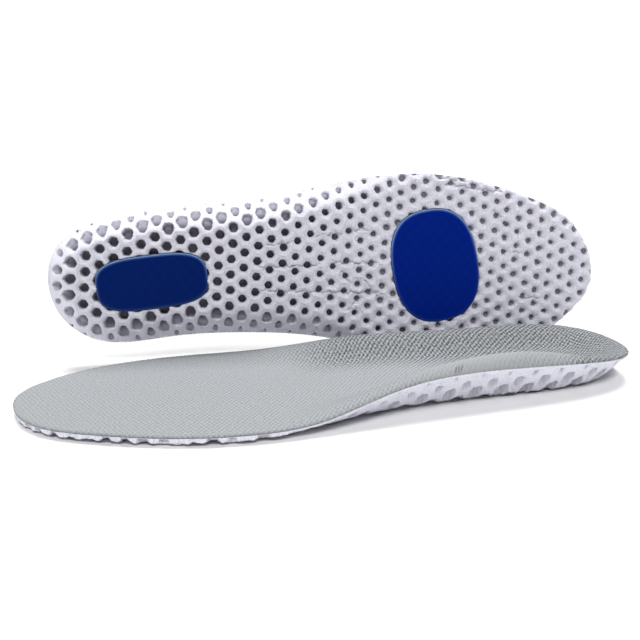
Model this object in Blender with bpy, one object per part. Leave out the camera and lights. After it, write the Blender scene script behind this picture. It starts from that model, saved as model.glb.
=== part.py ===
"""A pair of cushioned shoe insoles: the left one lies flat, the right one stands on its inner edge behind.

Each insole is a moulded foam body with a raised heel cup, a knitted top cover and two soft gel pads,
which sit in recesses under the heel and under the ball of the foot.

Both insoles are drawn once, as a right insole in the foot frame, in millimetres:
  along  runs from the back of the heel to the toe
  across runs from the outer side of the foot to the inner side
  up     runs from the sole's flat face, at 0, to the top cover
The left insole is its mirror image. The finished model is in metres, +Z up, and rests on Z = 0.
"""
import math

import bmesh
import bpy
import numpy as np
from mathutils import Matrix, Vector
from mathutils.geometry import delaunay_2d_cdt

METRES_PER_MM = 0.001

# The rim, from the back of the heel along the outer side to the toe, and back along the inner side:
# (along, across, height of the top cover's edge, how far the sole's flat face stays inside the rim,
# how far the padded rim swells above a plain flare)
RIM = [
    (0.0, 23.0, 12.8, 12.5, 1.5),
    (6.5, 6.5, 13.8, 11.5, 1.0),
    (26.0, -4.5, 15.6, 10.5, 2.0),
    (59.0, -13.0, 17.6, 12.0, 6.5),
    (107.0, -23.5, 16.0, 13.0, 3.0),
    (141.0, -32.5, 7.0, 8.5, 1.0),
    (166.5, -37.5, 4.8, 3.5, 0.0),
    (195.5, -38.0, 4.6, 1.6, 0.0),
    (227.0, -32.5, 4.6, 1.6, 0.0),
    (254.5, -20.5, 4.6, 1.6, 0.0),
    (267.0, 4.5, 4.6, 1.6, 0.0),
    (258.5, 22.5, 4.6, 1.6, 0.0),
    (238.5, 37.5, 4.6, 1.6, 0.0),
    (202.0, 47.5, 5.0, 2.0, 0.0),
    (165.5, 48.5, 6.8, 5.0, 0.5),
    (128.5, 45.0, 12.2, 10.5, 2.5),
    (94.0, 45.5, 13.5, 12.5, 3.0),
    (59.5, 49.5, 13.5, 12.0, 3.0),
    (28.5, 54.0, 13.0, 11.5, 2.5),
    (7.5, 44.0, 12.8, 11.5, 2.0),
]
RIM_SAMPLES = 720

# The moulded section
HEEL_THICKNESS = 7.0
ARCH_THICKNESS = 7.5
FOREFOOT_THICKNESS = 4.6
HEEL_END = 70.0
ARCH_MIDDLE = 105.0
FOREFOOT_START = 165.0
EDGE_BAND = 3.4
WALL_EXPONENT = 1.35
CUP_WIDTH = 20.0
HUMP_PEAK = 4.0 / 27.0
COVER_THICKNESS = 0.8
GAP = 0.3

# The mesh
RIM_POINTS = 80
INSET_RINGS = (1.6, 4.5, 8.0, 12.5, 17.5)
GRID_PITCH = 11.0
GRID_CLEARANCE = 22.0

# The gel pads: centre, half sizes along and across before turning, and turn about +Z in degrees
HEEL_PAD = {"centre": (49.0, 23.7), "half": (25.6, 12.4), "turn": -11.5, "power": 3.2}
FOREFOOT_PAD = {"centre": (184.0, 5.7), "half": (21.7, 27.4), "turn": -15.0, "power": 2.5}
HEEL_PAD_THICKNESS = 3.0
FOREFOOT_PAD_THICKNESS = 1.8
PAD_RECESS = 0.4
PAD_POINTS = 64
PAD_BEVEL = 0.45
CUTTER_START = -5.0
SHARP_ANGLE = 40.0

# How the right insole stands: turned about X, then Y, then Z, in degrees, from upright on its inner
# edge with its toe towards +X, and the place of the back of its heel from that of the left one's
LEAN_BACK = -11.9
TOE_DOWN = 6.3
TURNED_AWAY = 2.6
RIGHT_HEEL_FROM_LEFT = (-262.2, 51.4)

FOAM_COLOUR = (0.66, 0.66, 0.75)
COVER_COLOUR = (0.36, 0.375, 0.39)
HEEL_PAD_COLOUR = (0.004, 0.018, 0.12)
FOREFOOT_PAD_COLOUR = (0.003, 0.015, 0.22)
FOAM_ROUGHNESS = 0.6
COVER_ROUGHNESS = 0.9
GEL_ROUGHNESS = 0.35


def clear_scene():
    for obj in list(bpy.data.objects):
        bpy.data.objects.remove(obj, do_unlink=True)


def closed_spline(rows, samples):
    """Sample the smooth closed curve through rows, each one a point with any further values."""
    points = np.array(rows, dtype=float)
    count = len(points)
    chords = np.linalg.norm(np.diff(points[:, :2], axis=0, append=points[:1, :2]), axis=1)
    steps = np.sqrt(chords)
    slopes = (np.roll(points, -1, axis=0) - points) / steps[:, None]
    system = np.zeros((count, count))
    right = np.zeros_like(points)
    for i in range(count):
        before = steps[i - 1]
        after = steps[i]
        system[i, i - 1] += after
        system[i, i] += 2.0 * (before + after)
        system[i, (i + 1) % count] += before
        right[i] = 3.0 * (after * slopes[i - 1] + before * slopes[i])
    tangents = np.linalg.solve(system, right)
    starts = np.concatenate([[0.0], np.cumsum(steps)])
    places = np.linspace(0.0, starts[-1], samples, endpoint=False)
    spans = np.searchsorted(starts, places, side="right") - 1
    t = ((places - starts[spans]) / steps[spans])[:, None]
    width = steps[spans][:, None]
    following = (spans + 1) % count
    return ((2 * t**3 - 3 * t**2 + 1) * points[spans]
            + (t**3 - 2 * t**2 + t) * width * tangents[spans]
            + (3 * t**2 - 2 * t**3) * points[following]
            + (t**3 - t**2) * width * tangents[following])


RIM_CURVE = closed_spline(RIM, RIM_SAMPLES)


def smoothstep(low, high, values):
    t = np.clip((values - low) / (high - low), 0.0, 1.0)
    return t * t * (3.0 - 2.0 * t)


def rim_near(plan):
    """For each point of the plan: its distance to the rim, and the rim's height, inset and swell there."""
    offsets = plan[:, None, :] - RIM_CURVE[None, :, :2]
    distances = np.linalg.norm(offsets, axis=2)
    nearest = distances.argmin(axis=1)
    return distances.min(axis=1), *RIM_CURVE[nearest, 2:].T


def floor_height(plan):
    """Height of the top cover over the middle of the foot: thickest under the heel and the arch."""
    along = plan[:, 0]
    to_arch = smoothstep(HEEL_END, ARCH_MIDDLE, along)
    to_forefoot = smoothstep(ARCH_MIDDLE, FOREFOOT_START, along)
    heel_and_arch = HEEL_THICKNESS + (ARCH_THICKNESS - HEEL_THICKNESS) * to_arch
    return heel_and_arch + (FOREFOOT_THICKNESS - heel_and_arch) * to_forefoot


def top_height(plan):
    """Height of the top cover's outer face: the floor, flaring up to a padded rim."""
    distance, rim, _, swell = rim_near(plan)
    floor = floor_height(plan)
    inward = np.clip(distance / CUP_WIDTH, 0.0, 1.0)
    flare = (1.0 - inward) ** 2 * (1.0 + 2.0 * inward)
    hump = inward * (1.0 - inward) ** 2 / HUMP_PEAK
    return floor + (rim - floor) * flare + swell * hump


def sole_height(plan):
    """Height of the foam's lower face: flat at 0, and rising outwards as the wall of the heel cup."""
    distance, rim, inset, _ = rim_near(plan)
    outward = np.clip(1.0 - distance / inset, 0.0, 1.0)
    return np.maximum(rim - EDGE_BAND, 0.0) * outward**WALL_EXPONENT


def inset_ring(distance, count):
    """Points of the rim moved inwards by distance."""
    ring = RIM_CURVE[:: RIM_SAMPLES // count, :2]
    tangent = np.roll(ring, -1, axis=0) - np.roll(ring, 1, axis=0)
    tangent /= np.linalg.norm(tangent, axis=1)[:, None]
    inward = np.stack([-tangent[:, 1], tangent[:, 0]], axis=1)
    return ring + distance * inward


def grid_points():
    """A triangular grid over the middle of the foot."""
    low = RIM_CURVE[:, :2].min(axis=0)
    high = RIM_CURVE[:, :2].max(axis=0)
    row_pitch = GRID_PITCH * math.sqrt(0.75)
    points = []
    for row in range(int((high[0] - low[0]) / row_pitch)):
        for column in range(int((high[1] - low[1]) / GRID_PITCH)):
            across = low[1] + GRID_PITCH * (column + 0.5 * (row % 2))
            points.append((low[0] + row_pitch * row, across))
    points = np.array(points)
    distance = rim_near(points)[0]
    return np.array([p for p in points[distance > GRID_CLEARANCE] if inside_rim(p)])


def inside_rim(point):
    """True where the rim's curve winds round the point."""
    angles = np.arctan2(RIM_CURVE[:, 1] - point[1], RIM_CURVE[:, 0] - point[0])
    turns = np.diff(np.concatenate([angles, angles[:1]]))
    turns = (turns + math.pi) % (2.0 * math.pi) - math.pi
    return abs(turns.sum()) > math.pi


def plan_mesh():
    """Points and triangles of the insole seen from above, with the rim's points first and in order."""
    rim = inset_ring(0.0, RIM_POINTS)
    rings = [inset_ring(distance, RIM_POINTS) for distance in INSET_RINGS]
    points = np.concatenate([rim, *rings, grid_points()])
    border = [(i, (i + 1) % RIM_POINTS) for i in range(RIM_POINTS)]
    flat, _, triangles, sources, _, _ = delaunay_2d_cdt(
        [Vector(p) for p in points], border, [], 1, 1e-6)
    order = {min(source): index for index, source in enumerate(sources)}
    rim_order = [order[i] for i in range(RIM_POINTS)]
    return np.array([tuple(p) for p in flat]), [tuple(t) for t in triangles], rim_order


def slab(name, lower, upper):
    """A closed solid between two height functions over the insole's plan."""
    plan, triangles, rim_order = plan_mesh()
    bottom = np.column_stack([plan, lower(plan)])
    top = np.column_stack([plan, upper(plan)])
    count = len(plan)
    faces = [(c, b, a) for a, b, c in triangles]
    faces += [(a + count, b + count, c + count) for a, b, c in triangles]
    for i, start in enumerate(rim_order):
        end = rim_order[(i + 1) % len(rim_order)]
        faces.append((start, end, end + count, start + count))
    mesh = bpy.data.meshes.new(name)
    vertices = np.concatenate([bottom, top]) * METRES_PER_MM
    mesh.from_pydata(vertices.tolist(), [], faces)
    return mesh


def foam_top(plan):
    return top_height(plan) - COVER_THICKNESS - GAP


def cover_underside(plan):
    return top_height(plan) - COVER_THICKNESS


def pad_outline(pad, grow):
    """A superellipse, turned about the pad's centre, with its edge moved out by grow."""
    half_along = pad["half"][0] + grow
    half_across = pad["half"][1] + grow
    turn = math.radians(pad["turn"])
    points = []
    for i in range(PAD_POINTS):
        angle = 2.0 * math.pi * i / PAD_POINTS
        cosine = math.cos(angle)
        sine = math.sin(angle)
        along = half_along * math.copysign(abs(cosine) ** (2.0 / pad["power"]), cosine)
        across = half_across * math.copysign(abs(sine) ** (2.0 / pad["power"]), sine)
        points.append((
            pad["centre"][0] + along * math.cos(turn) - across * math.sin(turn),
            pad["centre"][1] + along * math.sin(turn) + across * math.cos(turn),
        ))
    return points


def plate(name, outline, low, high, bevel):
    """A flat plate of the given outline, with its lower edge rounded by bevel where that isn't 0."""
    mesh = bpy.data.meshes.new(name)
    bm = bmesh.new()
    ring = [bm.verts.new((x, y, low)) for x, y in outline]
    base = bm.faces.new(ring)
    lifted = bmesh.ops.extrude_face_region(bm, geom=[base])
    raised = [item for item in lifted["geom"] if isinstance(item, bmesh.types.BMVert)]
    bmesh.ops.translate(bm, verts=raised, vec=(0.0, 0.0, high - low))
    bmesh.ops.recalc_face_normals(bm, faces=bm.faces)
    if bevel:
        edges = [e for e in bm.edges if all(v.co.z < low + GAP for v in e.verts)]
        bmesh.ops.bevel(bm, geom=edges, offset=bevel, segments=2, affect="EDGES")
    bmesh.ops.scale(bm, verts=bm.verts, vec=(METRES_PER_MM,) * 3)
    bm.to_mesh(mesh)
    bm.free()
    return mesh


def material(name, colour, roughness):
    made = bpy.data.materials.new(name)
    made.use_nodes = True
    shader = made.node_tree.nodes["Principled BSDF"]
    shader.inputs["Base Color"].default_value = (*colour, 1.0)
    shader.inputs["Roughness"].default_value = roughness
    shader.inputs["Metallic"].default_value = 0.0
    return made


def add_object(name, mesh, finish, parent):
    obj = bpy.data.objects.new(name, mesh)
    bpy.context.scene.collection.objects.link(obj)
    obj.parent = parent
    if finish:
        mesh.materials.append(finish)
    mesh.shade_smooth()
    return obj


def mirrored(mesh):
    """Turn a right insole's mesh into a left insole's: the toe points to -X."""
    mesh.transform(Matrix.Scale(-1.0, 4, (1.0, 0.0, 0.0)))
    mesh.flip_normals()
    return mesh


def cut_recess(foam, name, pad, thickness, side, parent):
    """Cut the pad's recess into the foam's lower face."""
    depth = PAD_RECESS + thickness + GAP
    shape = plate(name, pad_outline(pad, GAP), CUTTER_START, depth, 0.0)
    cutter = add_object(name, side(shape), None, parent)
    cutter.hide_render = True
    cutter.display_type = "WIRE"
    cut = foam.modifiers.new(name, "BOOLEAN")
    cut.operation = "DIFFERENCE"
    cut.solver = "EXACT"
    cut.object = cutter


def build_insole(side_name, side, finishes):
    """One insole in its own frame, under an empty at the back of its heel."""
    frame = bpy.data.objects.new(f"{side_name}_insole_frame", None)
    bpy.context.scene.collection.objects.link(frame)
    foam = add_object(
        f"{side_name}_foam_body", side(slab("foam", sole_height, foam_top)), finishes["foam"], frame)
    cover = add_object(
        f"{side_name}_top_cover", side(slab("cover", cover_underside, top_height)), finishes["cover"], frame)
    for name, pad, thickness in (
        ("heel_pad", HEEL_PAD, HEEL_PAD_THICKNESS),
        ("forefoot_pad", FOREFOOT_PAD, FOREFOOT_PAD_THICKNESS),
    ):
        cut_recess(foam, f"{side_name}_{name}_recess", pad, thickness, side, frame)
        body = plate(name, pad_outline(pad, 0.0), PAD_RECESS, PAD_RECESS + thickness, PAD_BEVEL)
        add_object(f"{side_name}_{name}", side(body), finishes[name], frame)
    for obj in (foam, cover):
        obj.data.set_sharp_from_angle(angle=math.radians(SHARP_ANGLE))
    return frame


def corners(frame):
    """All vertices of the insole under a frame, in the model's space."""
    bpy.context.view_layer.update()
    solids = [child for child in frame.children if not child.hide_render]
    return np.array([tuple(solid.matrix_world @ v.co) for solid in solids for v in solid.data.vertices])


def stand_right_insole(frame):
    """Stand the right insole on its inner edge behind the left one, sole to the front."""
    on_edge = Matrix(((1.0, 0.0, 0.0), (0.0, 0.0, 1.0), (0.0, -1.0, 0.0))).to_4x4()
    turns = (
        Matrix.Rotation(math.radians(TURNED_AWAY), 4, "Z")
        @ Matrix.Rotation(math.radians(TOE_DOWN), 4, "Y")
        @ Matrix.Rotation(math.radians(LEAN_BACK), 4, "X")
    )
    heel = Vector((*RIGHT_HEEL_FROM_LEFT, 0.0)) * METRES_PER_MM
    frame.matrix_world = Matrix.Translation(heel) @ turns @ on_edge
    frame.location.z -= corners(frame)[:, 2].min()


def centre_over_origin(frames):
    """Move both insoles together, so that the middle of their box is over the origin."""
    points = np.concatenate([corners(frame) for frame in frames])
    middle = (points.min(axis=0) + points.max(axis=0)) / 2.0
    for frame in frames:
        frame.location.x -= middle[0]
        frame.location.y -= middle[1]


def main():
    clear_scene()
    finishes = {
        "foam": material("foam", FOAM_COLOUR, FOAM_ROUGHNESS),
        "cover": material("cover", COVER_COLOUR, COVER_ROUGHNESS),
        "heel_pad": material("heel_pad", HEEL_PAD_COLOUR, GEL_ROUGHNESS),
        "forefoot_pad": material("forefoot_pad", FOREFOOT_PAD_COLOUR, GEL_ROUGHNESS),
    }
    left = build_insole("left", mirrored, finishes)
    right = build_insole("right", lambda mesh: mesh, finishes)
    stand_right_insole(right)
    centre_over_origin((left, right))


main()
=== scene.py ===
"""Looks of the cushioned insole pair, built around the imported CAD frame.

Each insole is shaped in its own foot frame, in mm: along from the back of the heel to the toe,
across from the outer side to the inner side, and up from the sole. It is then placed on the frame.
"""
import math

import bpy
import numpy as np
from mathutils import Matrix, Vector, noise
from mathutils.geometry import delaunay_2d_cdt

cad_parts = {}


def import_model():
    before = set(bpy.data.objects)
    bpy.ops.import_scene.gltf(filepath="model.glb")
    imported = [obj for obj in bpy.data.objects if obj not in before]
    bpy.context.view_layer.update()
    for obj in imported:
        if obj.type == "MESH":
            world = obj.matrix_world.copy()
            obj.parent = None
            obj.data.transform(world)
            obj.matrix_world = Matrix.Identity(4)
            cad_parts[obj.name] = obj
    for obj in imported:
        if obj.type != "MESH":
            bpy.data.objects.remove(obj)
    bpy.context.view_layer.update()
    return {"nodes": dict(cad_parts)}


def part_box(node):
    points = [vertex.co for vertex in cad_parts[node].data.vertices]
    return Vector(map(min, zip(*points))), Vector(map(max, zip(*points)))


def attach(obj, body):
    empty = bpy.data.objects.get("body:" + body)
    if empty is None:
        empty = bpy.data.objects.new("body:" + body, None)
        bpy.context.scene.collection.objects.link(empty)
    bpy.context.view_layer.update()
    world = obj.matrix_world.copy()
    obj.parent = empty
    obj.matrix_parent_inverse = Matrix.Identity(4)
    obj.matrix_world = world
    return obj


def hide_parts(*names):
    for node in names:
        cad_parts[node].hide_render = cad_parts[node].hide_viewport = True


METRES_PER_MM = 0.001

# The insole's rim, as in the CAD: along, across, height of the cover's edge, inset of the sole's flat
# part, and swell of the padded roll inside the rim
RIM = (
    (0.0, 23.0, 12.8, 12.5, 1.5),
    (6.5, 6.5, 13.8, 11.5, 1.0),
    (26.0, -4.5, 15.6, 10.5, 2.0),
    (59.0, -13.0, 17.6, 12.0, 6.5),
    (107.0, -23.5, 16.0, 13.0, 3.0),
    (141.0, -32.5, 7.0, 8.5, 1.0),
    (166.5, -37.5, 4.8, 3.5, 0.0),
    (195.5, -38.0, 4.6, 1.6, 0.0),
    (227.0, -32.5, 4.6, 1.6, 0.0),
    (254.5, -20.5, 4.6, 1.6, 0.0),
    (267.0, 4.5, 4.6, 1.6, 0.0),
    (258.5, 22.5, 4.6, 1.6, 0.0),
    (238.5, 37.5, 4.6, 1.6, 0.0),
    (202.0, 47.5, 5.0, 2.0, 0.0),
    (165.5, 48.5, 6.8, 5.0, 0.5),
    (128.5, 45.0, 12.2, 10.5, 2.5),
    (94.0, 45.5, 13.5, 12.5, 3.0),
    (59.5, 49.5, 13.5, 12.0, 3.0),
    (28.5, 54.0, 13.0, 11.5, 2.5),
    (7.5, 44.0, 12.8, 11.5, 2.0),
)
RIM_SAMPLES = 1440

# How far in from the rim the cup's flare and the padded roll reach, and the peak of the roll's profile
CUP_WIDTH = 20.0
HUMP_PEAK = 4.0 / 27.0

# The upright edge under the rim, on the thin forefoot and above a tall wall
EDGE_BAND = 3.4
WALL_EDGE_BAND = 1.3

# The slanted walls: the insets over which a wall grows tall, its curve, and where its foot fades out
WALLED_INSETS = (3.0, 9.0)
WALL_EXPONENT = 1.35
WALL_FOOT = (1.3, 0.75)

# The footbed's thickness, and where along the foot it changes
HEEL_THICKNESS = 7.0
ARCH_THICKNESS = 7.5
FOREFOOT_THICKNESS = 4.6
HEEL_END = 70.0
ARCH_MIDDLE = 105.0
FOREFOOT_START = 165.0

COVER_THICKNESS = 0.8
GAP = 0.3

# The gel pads, as in the CAD
HEEL_PAD = {"centre": (49.0, 23.7), "half": (25.6, 12.4), "turn": -11.5, "power": 3.2, "thickness": 3.0}
FOREFOOT_PAD = {"centre": (184.0, 5.7), "half": (21.7, 27.4), "turn": -15.0, "power": 2.5, "thickness": 1.8}
PAD_RECESS = 0.4

# How the right insole stands, as in the CAD
LEAN_BACK = -11.9
TOE_DOWN = 6.3
TURNED_AWAY = 2.6

# The honeycomb of holes moulded into the sole
HOLE_PITCH = 7.0
COLUMN_PITCH = HOLE_PITCH * math.sqrt(0.75)
RIDGE_HALF_WIDTH = 0.42
LATTICES = {
    "left": {"turn": -12.5, "pivot": (77.2, -13.9), "start": (77.2, -13.9)},
    "right": {"turn": 0.0, "pivot": (0.0, 0.0), "start": (115.5, 0.0)},
}

# How far past the rim the lattice, its ridges and its holes go on
LATTICE_MARGIN = 12.0 * HOLE_PITCH
RIDGE_MARGIN = 4.0
HOLE_MARGIN = 2.4

# How the moulding is drawn out of its even lattice: a bow across the arch, a stretch to each side as far
# as the arch's end, and two steps forward before the toe
ARCH_ENDS = ((50.0, 65.0), (145.0, 130.0))
ARCH_SHIFT = 0.15
BOW_DEPTH = 0.6
BOW_MIDDLE = 8.0
BOW_HALF_WIDTH = 28.0
STRETCH_END = (150.0, 130.0)
SIDE_STRETCH = 0.05
FOOT_MIDDLE = 14.0
TOE_STEPS = ((205.0, 225.0, 0.2), (225.0, 245.0, 0.3))

# The holes' radii along the foot, and how they close towards the rim on a slanted wall
HOLE_RADII = ((60.0, 2.35), (95.0, 2.08), (125.0, 1.72), (150.0, 1.5), (200.0, 1.34))
SMALLEST_HOLE = 0.3
TAPER = 0.93
TAPER_START = 0.3
TAPER_CURVE = 1.35

# The holes' depths: a straight hole's, the least, the fabric left behind it, and the straight core's share
DEEPEST = 5.0
SHALLOWEST = 0.5
FABRIC_BACK = 0.6
HOLE_CORE = 0.86
CORE_CURVE = 0.8
FUNNEL_CURVE = 1.5

# A pocket's height on the wall and its stretch towards the rim, in radii
POCKET_RISE = 2.7
POCKET_STRETCH = 0.85

# The soft funnel round a hole, its depth in mm and its width in radii: at the heel, and what the forefoot
# and its rim add
FUNNEL_DEPTH = (0.2, 1.0, 0.5)
FUNNEL_WIDTH = (1.12, 0.6, 0.25)

# The holes' unevenness at the heel, what the forefoot adds to it, and where along the foot it's added
UNEVEN_SPAN = (95.0, 190.0)
SIZE_SCATTER = (0.02, 0.05)
PLACE_SCATTER = (0.10, 0.16)
OVAL_SCATTER = (0.02, 0.05)
LOBE_SCATTER = (0.01, 0.04)
HOLE_CORNERS = 0.045
SEED = 11

# The sole's mesh: points round a hole, and how close other points come to the rim and to a pad's recess
RING_POINTS = 18
CLEARANCE = 0.16
MERGE_DISTANCE = 1e-4

# A pad's recess: the samples of its outline, its steps, its wall's slant, and a ring inside it
PAD_SAMPLES = 720
RECESS_STEP = 0.4
RECESS_WALL = 0.12
RECESS_INSET = 4.0
RECESS_INNER_POINTS = 48

# How many points are compared with all the others at one time, and how many holes are near a point
CHUNK = 4096
NEIGHBOURS = 3

# Camera: metres from the left heel, degrees, and the lens in mm
CAMERA_FROM_HEEL = (-0.161732, -0.266568, 0.117719)
CAMERA_ELEVATION = -17.121
CAMERA_HEADING = 4.319
CAMERA_ROLL = 0.29
CAMERA_LENS = 38.72
SENSOR_WIDTH = 36.0
NEAREST_SEEN = 0.01

# Floor
FLOOR_REACH = 12.0
FLOOR_COLOUR = (0.88, 0.88, 0.88, 1.0)

# The dome of light: dim in front, brighter behind, and white along the horizon there. The edges are spans
# of the direction's Y, and the horizon's top one of its Z
FRONT_LIGHT = 0.05
FRONT_EDGE = (-0.6, 0.2)
DOME_LIGHT = 0.22
BACK_EDGE = (0.2, 0.6)
HORIZON_LIGHT = 1.08
HORIZON_TOP = (0.16, 0.34)
DOME_COLOUR = (1.0, 1.0, 1.0, 1.0)

# The lamps: strength, tilt of the beam from straight down towards the back, and spread
LAMPS = {
    "top_light": (3.0, -14.0, 26.0),
    "front_light": (1.9, 35.0, 16.0),
}


def closed_spline(rows, samples):
    """Sample the smooth closed curve through rows, each one a point with any further values."""
    points = np.array(rows, dtype=float)
    count = len(points)
    chords = np.linalg.norm(np.diff(points[:, :2], axis=0, append=points[:1, :2]), axis=1)
    steps = np.sqrt(chords)
    slopes = (np.roll(points, -1, axis=0) - points) / steps[:, None]
    system = np.zeros((count, count))
    right = np.zeros_like(points)
    for i in range(count):
        before = steps[i - 1]
        after = steps[i]
        system[i, i - 1] += after
        system[i, i] += 2.0 * (before + after)
        system[i, (i + 1) % count] += before
        right[i] = 3.0 * (after * slopes[i - 1] + before * slopes[i])
    tangents = np.linalg.solve(system, right)
    starts = np.concatenate([[0.0], np.cumsum(steps)])
    places = np.linspace(0.0, starts[-1], samples, endpoint=False)
    spans = np.searchsorted(starts, places, side="right") - 1
    t = ((places - starts[spans]) / steps[spans])[:, None]
    width = steps[spans][:, None]
    following = (spans + 1) % count
    return ((2 * t**3 - 3 * t**2 + 1) * points[spans]
            + (t**3 - 2 * t**2 + t) * width * tangents[spans]
            + (3 * t**2 - 2 * t**3) * points[following]
            + (t**3 - t**2) * width * tangents[following])


RIM_CURVE = closed_spline(RIM, RIM_SAMPLES)


def inward_normals(curve):
    tangent = np.roll(curve, -1, axis=0) - np.roll(curve, 1, axis=0)
    tangent /= np.linalg.norm(tangent, axis=1)[:, None]
    return np.stack([-tangent[:, 1], tangent[:, 0]], axis=1)


RIM_INWARD = inward_normals(RIM_CURVE[:, :2])


def smoothstep(low, high, values):
    t = np.clip((values - low) / (high - low), 0.0, 1.0)
    return t * t * (3.0 - 2.0 * t)


def nearest_rim(plan):
    """Index of the rim sample nearest to each point of the plan."""
    chunks = []
    for start in range(0, len(plan), CHUNK):
        offsets = plan[start:start + CHUNK, None, :] - RIM_CURVE[None, :, :2]
        chunks.append((offsets**2).sum(axis=2).argmin(axis=1))
    return np.concatenate(chunks)


class Plan:
    """Points of the insole's plan, with what the rim says about each one."""

    def __init__(self, points):
        self.points = np.asarray(points, dtype=float).reshape(-1, 2)
        nearest = nearest_rim(self.points)
        offset = self.points - RIM_CURVE[nearest, :2]
        self.inward = RIM_INWARD[nearest]
        self.distance = np.linalg.norm(offset, axis=1)
        self.inside = (offset * self.inward).sum(axis=1) > 0.0
        self.rim, self.inset, self.swell = RIM_CURVE[nearest, 2:].T

    def floor(self):
        along = self.points[:, 0]
        to_arch = smoothstep(HEEL_END, ARCH_MIDDLE, along)
        to_forefoot = smoothstep(ARCH_MIDDLE, FOREFOOT_START, along)
        heel_and_arch = HEEL_THICKNESS + (ARCH_THICKNESS - HEEL_THICKNESS) * to_arch
        return heel_and_arch + (FOREFOOT_THICKNESS - heel_and_arch) * to_forefoot

    def top(self):
        """Height of the cover's outer face."""
        floor = self.floor()
        inward = np.clip(self.distance / CUP_WIDTH, 0.0, 1.0)
        flare = (1.0 - inward) ** 2 * (1.0 + 2.0 * inward)
        hump = inward * (1.0 - inward) ** 2 / HUMP_PEAK
        return floor + (self.rim - floor) * flare + self.swell * hump

    def foam_top(self):
        return self.top() - COVER_THICKNESS - GAP

    def outward(self):
        """0 over the flat part of the sole, rising to 1 at the rim."""
        return np.clip(1.0 - self.distance / self.inset, 0.0, 1.0)

    def walled(self):
        """1 beside the tall slanted walls of the heel cup and arch, 0 beside the thin forefoot's rim."""
        return smoothstep(*WALLED_INSETS, self.inset)

    def sole(self):
        """Height of the foam's lower face without its holes."""
        band = EDGE_BAND + (WALL_EDGE_BAND - EDGE_BAND) * self.walled()
        return np.maximum(self.rim - band, 0.0) * self.outward() ** WALL_EXPONENT

    def wall(self):
        """1 on a tall slanted wall, falling to 0 just inside its foot."""
        return smoothstep(*WALL_FOOT, self.distance / self.inset) * self.walled()


class Lattice:
    """The honeycomb's even lattice, turned and drawn out onto the sole."""

    def __init__(self, turn, pivot, start):
        cosine = math.cos(math.radians(turn))
        sine = math.sin(math.radians(turn))
        self.spin = np.array([[cosine, sine], [-sine, cosine]])
        self.pivot = np.array(pivot)
        self.start = np.array(start)

    def turned(self, even):
        return (even - self.pivot) @ self.spin + self.pivot

    def place(self, even):
        """Where points of the even lattice lie on the sole."""
        turned = self.turned(even)
        return turned + drawn_out(turned)

    def even(self, points):
        """Where points of the sole lie on the even lattice."""
        turned = points - drawn_out(points - drawn_out(points))
        return (turned - self.pivot) @ self.spin.T + self.pivot

    def centres(self):
        """Centres of all hole places on and just round the sole."""
        low = RIM_CURVE[:, :2].min(axis=0) - LATTICE_MARGIN
        high = RIM_CURVE[:, :2].max(axis=0) + LATTICE_MARGIN
        columns = np.arange(math.floor((low[0] - self.start[0]) / COLUMN_PITCH),
                            math.ceil((high[0] - self.start[0]) / COLUMN_PITCH) + 1)
        rows = np.arange(math.floor((low[1] - self.start[1]) / HOLE_PITCH),
                         math.ceil((high[1] - self.start[1]) / HOLE_PITCH) + 1)
        column, row = (grid.ravel() for grid in np.meshgrid(columns, rows, indexing="ij"))
        staggered = row + 0.5 * (column % 2)
        even = self.start + np.stack([COLUMN_PITCH * column, HOLE_PITCH * staggered], axis=1)
        plan = Plan(self.place(even))
        return plan.points[plan.inside | (plan.distance < RIDGE_MARGIN)]

    def cell_side(self, points):
        """Each point's distance to the side of its honeycomb cell."""
        even = self.even(points) - self.start
        column = even[:, 0] / COLUMN_PITCH
        row = even[:, 1] / HOLE_PITCH - 0.5 * column
        third = -column - row
        rounded = np.round([column, row, third])
        errors = np.abs(rounded - [column, row, third])
        worst = errors.argmax(axis=0)
        rounded[0] = np.where(worst == 0, -rounded[1] - rounded[2], rounded[0])
        rounded[1] = np.where(worst == 1, -rounded[0] - rounded[2], rounded[1])
        centre = np.stack([COLUMN_PITCH * rounded[0], HOLE_PITCH * (rounded[1] + 0.5 * rounded[0])], axis=1)
        offset = even - centre
        slanted = math.sqrt(0.75)
        reach = np.abs(np.stack([
            offset[:, 1],
            slanted * offset[:, 0] + 0.5 * offset[:, 1],
            slanted * offset[:, 0] - 0.5 * offset[:, 1],
        ])).max(axis=0)
        return 0.5 * HOLE_PITCH - reach

    def ridge_points(self, centres):
        """Mesh points along the ridges between the cells, and just beside them."""
        points = []
        side = 0.5 * HOLE_PITCH
        corner = HOLE_PITCH / math.sqrt(3.0)
        beside = 1.0 - RIDGE_HALF_WIDTH / side
        for i in range(12):
            angle = i * math.tau / 12.0
            reach = corner if i % 2 == 0 else side
            direction = np.array([math.cos(angle), math.sin(angle)]) @ self.spin
            points.append(centres + direction * (reach * beside))
            # The other corners and sides are the neighbouring cells' own
            if i in (0, 1, 2, 3, 5):
                points.append(centres + direction * reach)
        return np.concatenate(points)


def drawn_out(points):
    """How far the moulding is drawn out of its even lattice at each point."""
    along, across = points.T
    arch = smoothstep(*ARCH_ENDS[0], along) * smoothstep(*ARCH_ENDS[1], along)
    bow = np.clip(1.0 - ((across - BOW_MIDDLE) / BOW_HALF_WIDTH) ** 2, 0.0, 1.0)
    toe = sum(shift * smoothstep(start, end, along) for start, end, shift in TOE_STEPS)
    return np.stack([
        arch * (ARCH_SHIFT - BOW_DEPTH * bow) + toe,
        SIDE_STRETCH * smoothstep(*STRETCH_END, along) * (across - FOOT_MIDDLE),
    ], axis=1)


def graded(parts, *shares):
    """The first part, with each further part added by its share."""
    total = parts[0]
    for part, share in zip(parts[1:], shares):
        total = total + part * share
    return total


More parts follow.
